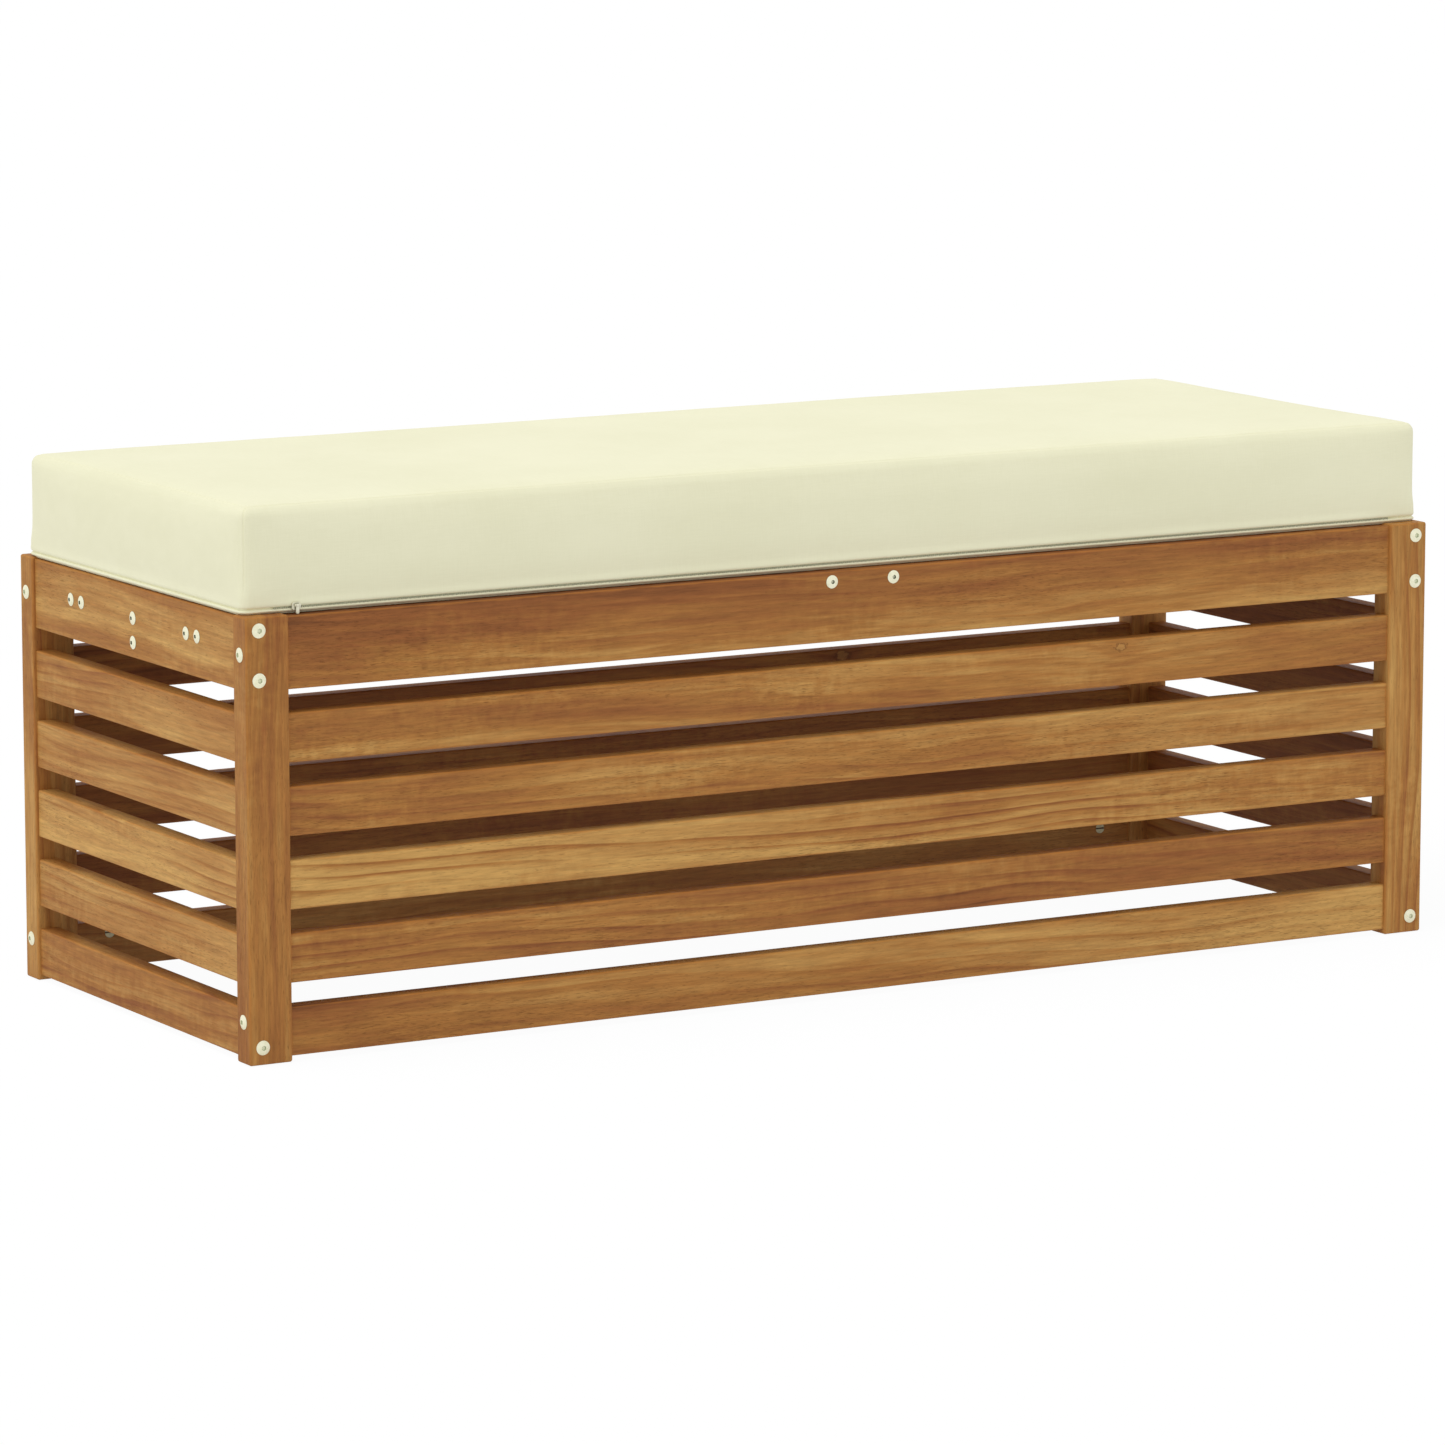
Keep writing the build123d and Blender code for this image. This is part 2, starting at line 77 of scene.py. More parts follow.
def to_linear(red, green, blue):
    """An sRGB colour, 0 to 255, as the linear colour that shaders use."""
    channels = [channel / 255 for channel in (red, green, blue)]
    linear = [c / 12.92 if c <= 0.04045 else ((c + 0.055) / 1.055) ** 2.4 for c in channels]
    return (*linear, 1.0)


def add_camera():
    data = bpy.data.cameras.new("camera")
    data.lens = CAMERA_LENS
    camera = bpy.data.objects.new("camera", data)
    bpy.context.scene.collection.objects.link(camera)
    camera.location = CAMERA_PLACE
    aim = Vector((
        math.sin(CAMERA_HEADING) * math.cos(CAMERA_PITCH),
        math.cos(CAMERA_HEADING) * math.cos(CAMERA_PITCH),
        -math.sin(CAMERA_PITCH),
    ))
    camera.rotation_euler = aim.to_track_quat("-Z", "Y").to_euler()
    bpy.context.scene.camera = camera


def add_lights():
    world = bpy.data.worlds.new("studio")
    bpy.context.scene.world = world
    world.use_nodes = True
    background = world.node_tree.nodes["Background"]
    background.inputs["Color"].default_value = WHITE
    background.inputs["Strength"].default_value = SKY_STRENGTH
    data = bpy.data.lights.new("window_light", "SUN")
    data.energy = SUN_STRENGTH
    data.angle = SUN_SOFTNESS
    sun = bpy.data.objects.new("window_light", data)
    sun.rotation_euler = (-SUN_FROM).to_track_quat("-Z", "Y").to_euler()
    bpy.context.scene.collection.objects.link(sun)
    bpy.context.scene.view_settings.view_transform = "Standard"


# ---- node helpers --------------------------------------------------------------------
def add_node(tree, kind, inputs=None, **settings):
    """A node with its settings, and each input given a value or linked from a socket."""
    node = tree.nodes.new(kind)
    for name, value in settings.items():
        setattr(node, name, value)
    for name, value in (inputs or {}).items():
        socket = node.inputs[name]
        if isinstance(value, bpy.types.NodeSocket):
            tree.links.new(value, socket)
        else:
            socket.default_value = value
    return node


def calc(tree, operation, *values, clamp=False):
    inputs = dict(enumerate(values))
    return add_node(tree, "ShaderNodeMath", inputs, operation=operation, use_clamp=clamp).outputs[0]


def vector_calc(tree, operation, *values):
    inputs = dict(enumerate(values))
    return add_node(tree, "ShaderNodeVectorMath", inputs, operation=operation).outputs[0]


def vector_length(tree, vector):
    return add_node(tree, "ShaderNodeVectorMath", {0: vector}, operation="LENGTH").outputs["Value"]


def stretched_noise(tree, point, scale, detail=2.0, roughness=0.5):
    """Noise at a point given in metres, with its own scale along each axis."""
    scaled = vector_calc(tree, "MULTIPLY", point, scale)
    inputs = {"Vector": scaled, "Scale": 1.0, "Detail": detail, "Roughness": roughness}
    return add_node(tree, "ShaderNodeTexNoise", inputs).outputs["Fac"]


def remap(tree, value, low, high, to_low=0.0, to_high=1.0, smooth=True):
    inputs = {"Value": value, "From Min": low, "From Max": high, "To Min": to_low, "To Max": to_high}
    kind = "SMOOTHSTEP" if smooth else "LINEAR"
    return add_node(tree, "ShaderNodeMapRange", inputs, interpolation_type=kind).outputs[0]


def mix(tree, factor, first, second, blend="MIX"):
    node = add_node(tree, "ShaderNodeMix", data_type="RGBA", blend_type=blend)
    for index, value in ((0, factor), (6, first), (7, second)):
        if isinstance(value, bpy.types.NodeSocket):
            tree.links.new(value, node.inputs[index])
        else:
            node.inputs[index].default_value = value
    return node.outputs[2]


def new_material(name):
    """A material with an empty tree, and the shader that its nodes feed."""
    material = bpy.data.materials.new(name)
    material.use_nodes = True
    tree = material.node_tree
    tree.nodes.clear()
    shader = add_node(tree, "ShaderNodeBsdfPrincipled")
    output = add_node(tree, "ShaderNodeOutputMaterial")
    tree.links.new(shader.outputs[0], output.inputs["Surface"])
    return material, tree, shader


def wire(tree, shader, color, roughness, height, bump_distance, bump_strength):
    """Links a surface's color, roughness (unless it is None) and bump to its shader."""
    tree.links.new(color, shader.inputs["Base Color"])
    if roughness is not None:
        tree.links.new(roughness, shader.inputs["Roughness"])
    inputs = {"Height": height, "Distance": bump_distance, "Strength": bump_strength}
    bump = add_node(tree, "ShaderNodeBump", inputs)
    tree.links.new(bump.outputs[0], shader.inputs["Normal"])


# ---- oiled acacia --------------------------------------------------------------------
GOLD = to_linear(208, 162, 92)
AMBER = to_linear(176, 121, 59)
RUSSET = to_linear(149, 91, 46)
UMBER = to_linear(118, 70, 36)
PORE = to_linear(86, 50, 26)
# A painted highlight: the lighter colour laid along every arris of a board.
ARRIS_HIGHLIGHT = to_linear(190, 124, 58)
# Distances in metres. The log's taper and the knot's swelling shift its rings.
RING_PITCH = 0.0105
LOG_TAPER = 0.014
KNOT_SWELLING = 0.007
# How far each kind of figure moves a board's tone, which runs from 0 (dark) to 1 (gold).
BAND_SHARE = 0.95
BLOTCH_SHARE = 0.62
STREAK_SHARE = 0.52
RIPPLE_SHARE = 0.42
RING_SHARE = -0.75
KNOT_HALO_SHARE = -0.10
# How much of a colour shows where its feature is at its full strength.
PORE_COVER = 0.45
KNOT_CORE_COVER = 0.30
KNOT_RIM_COVER = 0.42
ARRIS_HIGHLIGHT_COVER = 0.40
WOOD_SPECULAR = 0.13


def make_wood_group():
    """One board's timber: rings round a pith beside the board, streaks, fibres and pores.

    Grain is the point in the board's own frame, in metres, X along the grain. Half is the
    board's half size in that frame. Shift moves the board through the log. Lean makes the
    board lighter towards one end or edge. Figure sets how strongly the rings show. Knot is
    the middle of the board's knot, and a Knot Size of 0 means that it has none.
    """
    tree = bpy.data.node_groups.new("acacia_timber", "ShaderNodeTree")
    for name, kind in (
        ("Grain", "NodeSocketVector"),
        ("Half", "NodeSocketVector"),
        ("Shift", "NodeSocketVector"),
        ("Lean", "NodeSocketVector"),
        ("Tone", "NodeSocketFloat"),
        ("Red", "NodeSocketFloat"),
        ("Figure", "NodeSocketFloat"),
        ("Knot", "NodeSocketVector"),
        ("Knot Size", "NodeSocketFloat"),
    ):
        tree.interface.new_socket(name, in_out="INPUT", socket_type=kind)
    for name, kind in (
        ("Color", "NodeSocketColor"),
        ("Roughness", "NodeSocketFloat"),
        ("Height", "NodeSocketFloat"),
    ):
        tree.interface.new_socket(name, in_out="OUTPUT", socket_type=kind)
    given = add_node(tree, "NodeGroupInput").outputs
    result = add_node(tree, "NodeGroupOutput")

    # A knot: a dark rim round a paler core, and grain that flows past it.
    from_knot = vector_calc(tree, "SUBTRACT", given["Grain"], given["Knot"])
    knot_space = vector_calc(tree, "MULTIPLY", from_knot, (0.62, 1.0, 0.25))
    knot_far = vector_length(tree, knot_space)
    knot_wobble = stretched_noise(tree, given["Grain"], (260.0, 420.0, 300.0), 2.0, 0.6)
    knot_far = calc(tree, "MULTIPLY_ADD", knot_wobble, 0.0076, calc(tree, "SUBTRACT", knot_far, 0.0038))
    knot_ratio = calc(tree, "DIVIDE", knot_far, calc(tree, "MAXIMUM", given["Knot Size"], 1e-5))
    knot_edge = calc(tree, "ABSOLUTE", calc(tree, "SUBTRACT", knot_ratio, 0.9))
    knot_rim = remap(tree, knot_edge, 0.38, 0.08)
    knot_core = remap(tree, knot_ratio, 1.0, 0.6)
    knot_halo = remap(tree, knot_ratio, 6.0, 1.0)

    log_point = vector_calc(tree, "ADD", given["Grain"], given["Shift"])
    wander = vector_calc(tree, "MULTIPLY", log_point, (2.3, 9.0, 9.0))
    sway_inputs = {"Vector": wander, "Scale": 1.0, "Detail": 2.0}
    sway = add_node(tree, "ShaderNodeTexNoise", sway_inputs).outputs["Color"]
    sway = vector_calc(tree, "SUBTRACT", sway, (0.5, 0.5, 0.5))
    bent = vector_calc(tree, "ADD", log_point, vector_calc(tree, "MULTIPLY", sway, (0.0, 0.05, 0.05)))
    apart = add_node(tree, "ShaderNodeSeparateXYZ", {0: bent}).outputs
    across = add_node(tree, "ShaderNodeCombineXYZ", {"Y": apart["Y"], "Z": apart["Z"]}).outputs[0]
    radius = vector_length(tree, across)
    radius = calc(tree, "MULTIPLY_ADD", apart["X"], LOG_TAPER, radius)
    radius = calc(tree, "MULTIPLY_ADD", knot_halo, KNOT_SWELLING, radius)

    # Growth rings: a slow rise to dark late wood, then a quick return. They come and go.
    ring_step = calc(tree, "FRACT", calc(tree, "DIVIDE", radius, RING_PITCH))
    ring_rise = calc(tree, "POWER", ring_step, 3.2)
    ring = calc(tree, "MULTIPLY", ring_rise, remap(tree, ring_step, 1.0, 0.88))
    ring_patch = remap(tree, stretched_noise(tree, log_point, (2.6, 19.0, 19.0)), 0.40, 0.66)
    ring = calc(tree, "MULTIPLY", ring, calc(tree, "MULTIPLY", ring_patch, given["Figure"]))

    # Wide streaks of heartwood follow the rings. Blotches and a cross ripple don't.
    band_point = add_node(tree, "ShaderNodeCombineXYZ", {"X": apart["X"], "Y": radius}).outputs[0]
    band = stretched_noise(tree, band_point, (1.5, 52.0, 1.0), 3.0, 0.6)
    blotch = stretched_noise(tree, log_point, (6.5, 30.0, 30.0), 3.0, 0.6)
    ripple = stretched_noise(tree, log_point, (105.0, 62.0, 62.0), 2.0, 0.6)
    ripple_patch = remap(tree, stretched_noise(tree, log_point, (5.0, 14.0, 14.0)), 0.42, 0.66)
    streak = stretched_noise(tree, bent, (5.5, 150.0, 150.0), 4.0, 0.62)
    fibre = stretched_noise(tree, log_point, (34.0, 460.0, 460.0), 3.0, 0.7)

    lean_inputs = {0: given["Lean"], 1: given["Grain"]}
    lean = add_node(tree, "ShaderNodeVectorMath", lean_inputs, operation="DOT_PRODUCT")
    tone = calc(tree, "ADD", given["Tone"], lean.outputs["Value"])
    tone = calc(tree, "MULTIPLY_ADD", calc(tree, "SUBTRACT", band, 0.5), BAND_SHARE, tone)
    tone = calc(tree, "MULTIPLY_ADD", calc(tree, "SUBTRACT", blotch, 0.5), BLOTCH_SHARE, tone)
    tone = calc(tree, "MULTIPLY_ADD", calc(tree, "SUBTRACT", streak, 0.5), STREAK_SHARE, tone)
    rippled = calc(tree, "MULTIPLY", calc(tree, "SUBTRACT", ripple, 0.5), ripple_patch)
    tone = calc(tree, "MULTIPLY_ADD", rippled, RIPPLE_SHARE, tone)
    tone = calc(tree, "MULTIPLY_ADD", ring, RING_SHARE, tone)
    tone = calc(tree, "MULTIPLY_ADD", knot_halo, KNOT_HALO_SHARE, tone)
    ramp = add_node(tree, "ShaderNodeValToRGB", {0: tone})
    stops = ramp.color_ramp.elements
    stops[0].position, stops[0].color = 0.02, UMBER
    stops[1].position, stops[1].color = 0.98, GOLD
    for place, color in ((0.28, RUSSET), (0.60, AMBER)):
        stops.new(place).color = color
    color = ramp.outputs[0]

    redness = remap(tree, stretched_noise(tree, bent, (1.6, 22.0, 22.0)), 0.36, 0.66)
    color = mix(tree, calc(tree, "MULTIPLY", redness, given["Red"]), color, RUSSET)
    fibre_shade = remap(tree, fibre, 0.28, 0.72, 0.80, 1.16, smooth=False)
    grey = add_node(tree, "ShaderNodeCombineColor", {0: fibre_shade, 1: fibre_shade, 2: fibre_shade})
    color = mix(tree, 1.0, color, grey.outputs[0], "MULTIPLY")

    # Open pores: short dark dashes, crowded in some patches and missing from others.
    dash = stretched_noise(tree, log_point, (125.0, 2100.0, 2100.0), 1.0)
    pore_patch = remap(tree, stretched_noise(tree, log_point, (3.4, 17.0, 17.0)), 0.38, 0.68)
    dash_limit = calc(tree, "MULTIPLY_ADD", pore_patch, -0.10, 0.70)
    pore = remap(tree, calc(tree, "SUBTRACT", dash, dash_limit), 0.0, 0.06)
    color = mix(tree, calc(tree, "MULTIPLY", pore, PORE_COVER), color, PORE)
    color = mix(tree, calc(tree, "MULTIPLY", knot_core, KNOT_CORE_COVER), color, GOLD)
    color = mix(tree, calc(tree, "MULTIPLY", knot_rim, KNOT_RIM_COVER), color, PORE)

    # Arrises: the second smallest distance to a face is small only along an edge. The lighter colour laid
    # along every arris is a painted highlight.
    inner = vector_calc(tree, "SUBTRACT", given["Half"], vector_calc(tree, "ABSOLUTE", given["Grain"]))
    gap = add_node(tree, "ShaderNodeSeparateXYZ", {0: inner}).outputs
    least = calc(tree, "MINIMUM", gap[0], gap[1])
    most = calc(tree, "MAXIMUM", gap[0], gap[1])
    middle = calc(tree, "MAXIMUM", least, calc(tree, "MINIMUM", most, gap[2]))
    arris_width_noise = stretched_noise(tree, log_point, (30.0, 90.0, 90.0), 3.0)
    reach = remap(tree, arris_width_noise, 0.3, 0.7, 0.0008, 0.0030)
    edge = remap(tree, calc(tree, "DIVIDE", middle, reach), 1.0, 0.25)
    color = mix(tree, calc(tree, "MULTIPLY", edge, ARRIS_HIGHLIGHT_COVER), color, ARRIS_HIGHLIGHT)

    rough = remap(tree, streak, 0.2, 0.8, 0.52, 0.64, smooth=False)
    rough = calc(tree, "MULTIPLY_ADD", pore, 0.20, rough)
    rough = calc(tree, "MULTIPLY_ADD", edge, 0.08, rough)
    height = calc(tree, "MULTIPLY_ADD", fibre, 0.35, calc(tree, "MULTIPLY", streak, 0.30))
    height = calc(tree, "MULTIPLY_ADD", ring, -0.22, height)
    height = calc(tree, "MULTIPLY_ADD", pore, -0.9, height)
    height = calc(tree, "MULTIPLY_ADD", knot_rim, -0.8, height)
    tree.links.new(color, result.inputs["Color"])
    tree.links.new(rough, result.inputs["Roughness"])
    tree.links.new(height, result.inputs["Height"])
    return tree


# What is particular to a board. Lean is the change of tone from its middle to its end, and
# from its middle to its upper edge.
BOARD_LOOKS = {
    "front_top_rail": {"tone": 0.52, "red": 0.28, "lean": (0.16, -0.26), "figure": 0.4},
    "front_slat_1": {
        "tone": 0.57,
        "red": 0.25,
        "figure": 0.4,
        "knot": (0.270, 0.0135, -0.009),
        "knot_size": 0.0036,
    },
    "front_slat_2": {"tone": 0.65, "red": 0.12, "lean": (0.14, 0.0), "figure": 0.5},
    "front_slat_3": {"tone": 0.83, "red": 0.05, "lean": (-0.20, 0.0), "figure": 1.0},
    "front_slat_4": {"tone": 0.54, "red": 0.25, "lean": (-0.06, 0.0), "figure": 0.7},
    "front_bottom_rail": {"tone": 0.72, "red": 0.10, "lean": (0.26, 0.0), "figure": 0.4},
    "front_left_post": {"tone": 0.53, "red": 0.15, "figure": 0.3},
    "front_right_post": {"tone": 0.68, "red": 0.20, "figure": 0.6},
    "rear_left_post": {"tone": 0.66, "red": 0.05, "figure": 0.4},
    "rear_slat_2": {"figure": 0.6, "knot": (0.236, 0.0145, -0.009), "knot_size": 0.0052},
    "left_top_rail": {"tone": 0.66, "red": 0.05, "figure": 0.3},
    "left_slat_1": {"tone": 0.70, "red": 0.15, "figure": 0.5},
    "left_slat_2": {"tone": 0.76, "red": 0.20, "figure": 0.6},
    "left_slat_3": {"tone": 0.94, "red": 0.05, "figure": 0.8},
    "left_slat_4": {"tone": 0.76, "red": 0.20, "figure": 0.5},
    "left_bottom_rail": {"tone": 0.68, "red": 0.15, "figure": 0.6},
}
# The right and rear slats are seen only from inside the frame. Their low tone and extra red are painted
# shade of the frame's inside, and the right slats' tone rises with the slat's number.
for number in range(1, 5):
    BOARD_LOOKS[f"right_slat_{number}"] = {"tone": 0.30 + 0.03 * number, "red": 0.4, "figure": 0.4}
    BOARD_LOOKS.setdefault(f"rear_slat_{number}", {}).update({"tone": 0.47, "red": 0.55})
AXES = "XYZ"
NO_KNOT = (9.0, 9.0, 9.0)


def make_wood(group, name, finish):
    """The material of one board, with its own place in the log."""
    low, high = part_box(name)
    half, centre = (high - low) / 2, (low + high) / 2
    order = sorted(range(3), key=lambda axis: -half[axis])
    draw = random.Random(name)
    shift = (draw.uniform(-40, 40), draw.uniform(0.05, 0.16), draw.uniform(-0.07, 0.07))
    look = {
        "tone": draw.uniform(0.50, 0.66),
        "red": draw.uniform(0.1, 0.3),
        "figure": draw.uniform(0.3, 0.9),
    }
    look.update(BOARD_LOOKS.get(name, {}))
    lean = look.get("lean", (0.0, 0.0))
    material, tree, shader = new_material(f"{finish}_{name}")
    here = add_node(tree, "ShaderNodeTexCoord").outputs["Object"]
    parts = add_node(tree, "ShaderNodeSeparateXYZ", {0: vector_calc(tree, "SUBTRACT", here, tuple(centre))})
    own = {socket: parts.outputs[AXES[axis]] for socket, axis in zip(AXES, order)}
    grain = add_node(tree, "ShaderNodeCombineXYZ", own).outputs[0]
    inputs = {
        "Grain": grain,
        "Half": [half[axis] for axis in order],
        "Shift": shift,
        "Lean": (lean[0] / half[order[0]], lean[1] / half[order[1]], 0.0),
        "Tone": look["tone"],
        "Red": look["red"],
        "Figure": look["figure"],
        "Knot": look.get("knot", NO_KNOT),
        "Knot Size": look.get("knot_size", 0.0),
    }
    timber = add_node(tree, "ShaderNodeGroup", node_tree=group)
    for socket, value in inputs.items():
        if isinstance(value, bpy.types.NodeSocket):
            tree.links.new(value, timber.inputs[socket])
        else:
            timber.inputs[socket].default_value = value
    out = timber.outputs
    wire(tree, shader, out["Color"], out["Roughness"], out["Height"], 0.00025, 0.5)
    shader.inputs["Specular IOR Level"].default_value = WOOD_SPECULAR
    return material


# ---- hardware, fabric and foam materials ---------------------------------------------
PAINTED_SHADE_REACH = 2.8 * MM
ZINC_LIGHT = to_linear(252, 250, 222)
ZINC_DARK = to_linear(242, 240, 206)
# The colours of each hardware finish: its light and dark mottle, and the painted shade in its recesses and
# where it meets other parts.
ZINC = (ZINC_LIGHT, ZINC_DARK, to_linear(196, 203, 172))
SCREW_ZINC = (ZINC_LIGHT, ZINC_DARK, to_linear(52, 66, 26))
DULL_ZINC = (to_linear(226, 226, 192), to_linear(196, 198, 164), PORE)
LACQUER = (to_linear(240, 238, 214), to_linear(226, 222, 196), to_linear(150, 150, 118))
# The zip teeth are darker than the cover: painted shade of the groove they lie in.
NYLON = (to_linear(206, 202, 172), to_linear(180, 176, 148), to_linear(130, 132, 104))


def make_metal(name, light, dark, recess_shade, metallic, roughness):
    """A small hard part with a faint mottle, and painted shade darkening its recesses and its rim against
    other parts.
    """
    material, tree, shader = new_material(name)
    here = add_node(tree, "ShaderNodeTexCoord").outputs["Object"]
    mottle = stretched_noise(tree, here, (260.0, 260.0, 260.0), 3.0, 0.6)
    scratch = stretched_noise(tree, here, (900.0, 900.0, 3800.0), 2.0, 0.6)
    color = mix(tree, remap(tree, mottle, 0.3, 0.7), dark, light)
    shade_inputs = {"Distance": PAINTED_SHADE_REACH}
    # Painted shade: the colour goes darker by ambient occlusion, in recesses and where the part meets
    # another.
    painted_shade = add_node(tree, "ShaderNodeAmbientOcclusion", shade_inputs, samples=8).outputs["AO"]
    color = mix(tree, remap(tree, painted_shade, 0.86, 0.42), color, recess_shade)
    rough = calc(tree, "MULTIPLY_ADD", scratch, 0.22, roughness - 0.11)
    wire(tree, shader, color, rough, scratch, 0.00006, 0.4)
    shader.inputs["Metallic"].default_value = metallic
    return material


CREAM = to_linear(243, 241, 209)
CREAM_SHADE = to_linear(237, 235, 201)
# The zip tape is a darker, greener tone than the cover: painted shade of the groove it lies in.
TAPE_LIGHT = to_linear(196, 204, 168)
TAPE_DARK = to_linear(172, 182, 146)
FOAM_PIT = to_linear(214, 202, 160)
FOAM_FACE = to_linear(240, 234, 206)
WEAVE = 0.0009


def make_fabric(name, light, dark):
    """Plain-woven polyester: over-and-under threads, slubs and a faint cloudiness."""
    material, tree, shader = new_material(name)
    here = add_node(tree, "ShaderNodeTexCoord").outputs["Object"]
    parts = add_node(tree, "ShaderNodeSeparateXYZ", {0: here}).outputs
    turns = 2 * math.pi / WEAVE
    waves = [calc(tree, "SINE", calc(tree, "MULTIPLY", parts[axis], turns)) for axis in AXES]
    weft = calc(tree, "MULTIPLY", waves[0], waves[1])
    threads = calc(tree, "MULTIPLY_ADD", waves[2], calc(tree, "ADD", waves[0], waves[1]), weft)
    slub_x = stretched_noise(tree, here, (60.0, 900.0, 900.0), 2.0)
    slub_y = stretched_noise(tree, here, (900.0, 60.0, 60.0), 2.0)
    slub = calc(tree, "ADD", slub_x, slub_y)
    cloud = stretched_noise(tree, here, (6.0, 6.0, 9.0), 3.0, 0.6)
    shade = calc(tree, "MULTIPLY_ADD", cloud, 0.8, calc(tree, "MULTIPLY", slub, 0.35))
    shade = calc(tree, "MULTIPLY_ADD", threads, 0.04, shade)
    color = mix(tree, remap(tree, shade, 0.45, 1.05), dark, light)
    rough = remap(tree, slub, 0.6, 1.4, 0.82, 0.94, smooth=False)
    height = calc(tree, "MULTIPLY_ADD", threads, 0.25, calc(tree, "MULTIPLY", slub, 0.4))
    wire(tree, shader, color, rough, height, 0.00016, 0.35)
    shader.inputs["Specular IOR Level"].default_value = 0.25
    shader.inputs["Sheen Weight"].default_value = 0.12
    shader.inputs["Sheen Roughness"].default_value = 0.5
    return material


def make_foam():
    """Open-cell foam: pale, with fine pits."""
    material, tree, shader = new_material("foam_block")
    here = add_node(tree, "ShaderNodeTexCoord").outputs["Object"]
    cell_inputs = {"Vector": here, "Scale": 700.0}
    cells = add_node(tree, "ShaderNodeTexVoronoi", cell_inputs).outputs["Distance"]
    color = mix(tree, remap(tree, cells, 0.1, 0.7), FOAM_PIT, FOAM_FACE)
    wire(tree, shader, color, None, cells, 0.0004, 0.6)
    shader.inputs["Roughness"].default_value = 0.95
    return material


def dress_frame():
    """Puts a material of its own on every CAD node that stays."""
    group = make_wood_group()
    zinc = make_metal("pale_zinc", *ZINC, 0.08, 0.40)
    screw_zinc = make_metal("screw_zinc", *SCREW_ZINC, 0.08, 0.40)
    nut_zinc = make_metal("dull_zinc", *DULL_ZINC, 0.35, 0.42)
    lacquer = make_metal("cream_lacquer", *LACQUER, 0.1, 0.3)
    for entry in frame["record"]["subparts"]:
        name, slot = entry["node"], entry["material_slot"]
        if slot in ("acacia", "beech"):
            material = make_wood(group, name, slot)
        elif slot == "zip_metal":
            material = lacquer
        elif name in ("barrel_nuts", "seat_slat_screws"):
            material = nut_zinc
        elif "screw" in name:
            material = screw_zinc
        else:
            material = zinc
        mesh = frame["nodes"][name].data
        mesh.materials.clear()
        mesh.materials.append(material)


# ---- cushion -------------------------------------------------------------------------
COVER_LOW, COVER_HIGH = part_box("cushion_cover")
TAPE_LOW, TAPE_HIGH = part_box("zip_tape")
TOP_R = 9 * MM
TOP_SEAM_ANGLE = 71
CORNER_R = 9 * MM
GRID_STEP = 13 * MM
SIM_FRAMES = 20
SIM_PRESSURE = 4.0
SWELL_CAP = 3.2 * MM
DRAWN_IN = 1.6 * MM
# The side's outline from the bottom up: (height above the bottom, inset). It gives the
# rolled bottom seam, the groove above it and the soft roll over the zip.
LOWER_PROFILE = [
    (-1.6, 5.6),
    (-1.5, 4.6),
    (-1.0, 3.7),
    (-0.2, 3.2),
    (0.4, 2.3),
    (0.9, 1.1),
    (1.5, 0.45),
    (2.2, 0.3),
    (2.9, 0.6),
    (3.3, 1.4),
    (3.7, 2.3),
    (4.3, 2.3),
    (4.8, 1.3),
    (5.6, 0.55),
    (7.0, 0.35),
    (9.0, 0.5),
    (11.5, 0.75),
    (14.5, 0.6),
]
# The zip's upper lip: (height of its middle, half its height, how far it stands out).
LIP_HEIGHT, LIP_SPREAD, LIP_RISE = 6.6, 3.4, 0.75
LIP_FADE = 22 * MM
CORNER_SEAM = 1.1 * MM
TOP_SEAM = 1.3 * MM
PUCKER = 0.4 * MM
PUCKER_SCALE = 34
PUCKER_FADE = 0.016
RIM_BAND = 0.03
CLOTH_WAVE = 0.9
# The zip lies in a groove of this depth, between these heights above the bottom.
GROOVE_DEPTH = 1.6 * MM
GROOVE_BOTTOM, GROOVE_TOP = 3.4 * MM, 4.6 * MM
LIP_START = 4.0 * MM
HELD_SEAM = 0.85
TOP_ANGLES = (15, 30, 45, 57, 65, 71, 77, 90)
BEND_ANGLES = (45, 41, 34, 24, 12, 0)


def spaced(half, radius, step):
    """Grid places from -half to half: close together over the rounded ends."""
    bends = [math.tan(math.radians(angle)) for angle in BEND_ANGLES]
    ends = [half - radius * (1 - bend) for bend in bends]
    inner = ends[-1]
    count = max(2, round(2 * inner / step))
    middle = [-inner + 2 * inner * index / count for index in range(1, count)]
    return [-place for place in ends] + middle + ends[::-1]


def rounded_corner(x, y, half_x, half_y, radius):
    """Moves a point near a square corner of the outline onto its rounded corner."""
    core_x, core_y = half_x - radius, half_y - radius
    if abs(x) <= core_x or abs(y) <= core_y:
        return x, y
    away = Vector((abs(x) - core_x, abs(y) - core_y))
    reach = max(away.x, away.y)
    away = away.normalized() * reach
    return math.copysign(core_x + away.x, x), math.copysign(core_y + away.y, y)


def side_rows():
    """(height above the bottom, inset, kind) of each row of the cushion's side."""
    height = COVER_HIGH.z - COVER_LOW.z
    rows = [(z * MM, inset * MM, "low") for z, inset in LOWER_PROFILE]
    start, stop = rows[-1][0], height - TOP_R
    count = round((stop - start) / (GRID_STEP * 0.7))
    rows += [(start + (stop - start) * index / count, 0.0, "side") for index in range(1, count + 1)]
    for angle in TOP_ANGLES:
        rise, run = math.sin(math.radians(angle)), math.cos(math.radians(angle))
        kind = "seam" if angle == TOP_SEAM_ANGLE else "top"
        rows.append((stop + TOP_R * rise, TOP_R * (1 - run), kind))
    return rows


